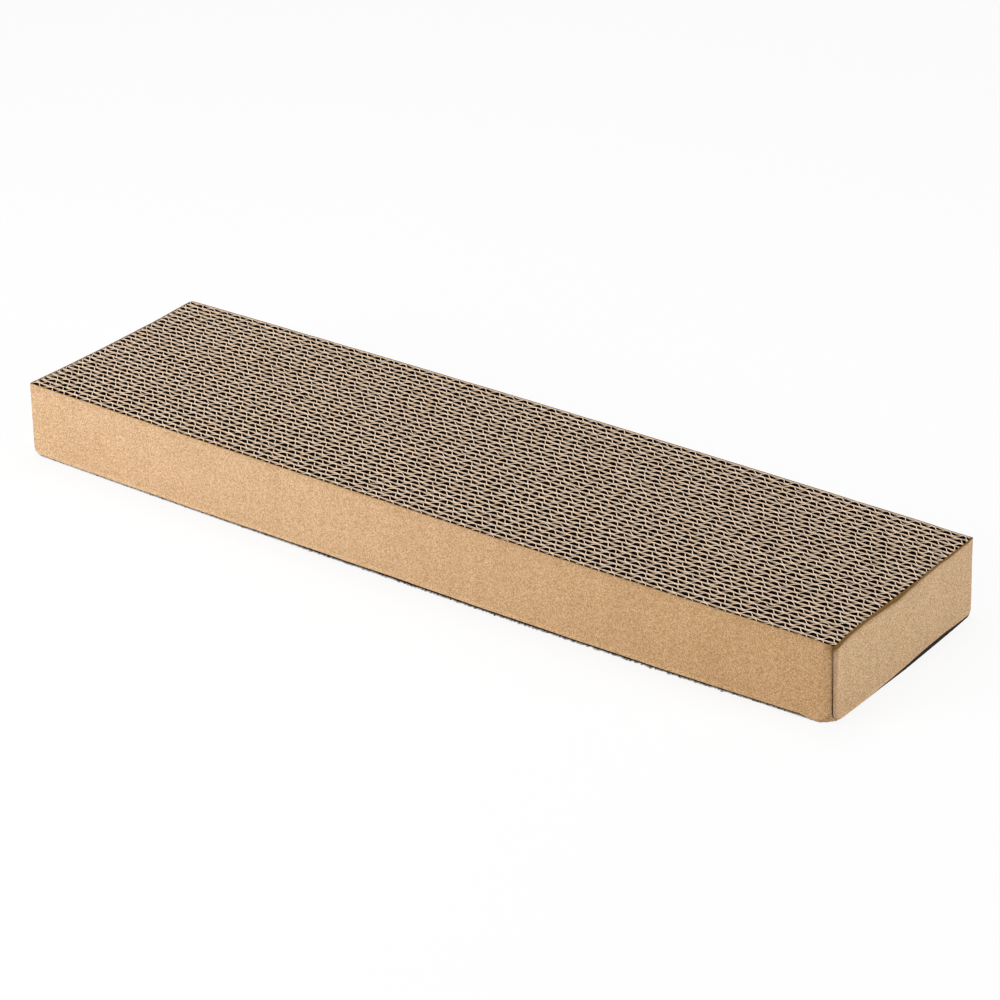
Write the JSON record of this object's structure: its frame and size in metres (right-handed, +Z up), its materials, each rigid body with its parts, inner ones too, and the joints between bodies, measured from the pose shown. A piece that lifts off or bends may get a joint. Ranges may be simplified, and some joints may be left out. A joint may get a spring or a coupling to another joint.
{
  "type": "cardboard cat scratcher",
  "caption": "Low rectangular slab of corrugated board strips glued side by side on edge, flutes open at the top and bottom, held in a folded kraft board wrap.",
  "frame": {"origin": "middle of the footprint, on the surface that the slab lies on", "axes": "+X along the slab towards the end with the wrap's seam, +Y from the front long side to the back, +Z up, along the flutes"},
  "size_m": [0.457, 0.128, 0.039],
  "materials": {
    "corrugated_board": "matt, open cut edges",
    "kraft_wrap": "matt, fine fibre speckle"
  },
  "bodies": {
    "root": {"strip_01": "corrugated_board", "strip_02": "corrugated_board", "strip_03": "corrugated_board", "strip_04": "corrugated_board", "strip_05": "corrugated_board", "strip_06": "corrugated_board", "strip_07": "corrugated_board", "strip_08": "corrugated_board", "strip_09": "corrugated_board", "strip_10": "corrugated_board", "strip_11": "corrugated_board", "strip_12": "corrugated_board", "strip_13": "corrugated_board", "strip_14": "corrugated_board", "strip_15": "corrugated_board", "strip_16": "corrugated_board", "strip_17": "corrugated_board", "strip_18": "corrugated_board", "strip_19": "corrugated_board", "strip_20": "corrugated_board", "strip_21": "corrugated_board", "strip_22": "corrugated_board", "strip_23": "corrugated_board", "strip_24": "corrugated_board", "strip_25": "corrugated_board", "strip_26": "corrugated_board", "strip_27": "corrugated_board", "strip_28": "corrugated_board", "strip_29": "corrugated_board", "strip_30": "corrugated_board", "strip_31": "corrugated_board", "strip_32": "corrugated_board", "strip_33": "corrugated_board", "wrap": "kraft_wrap"}
  },
  "joints": []
}
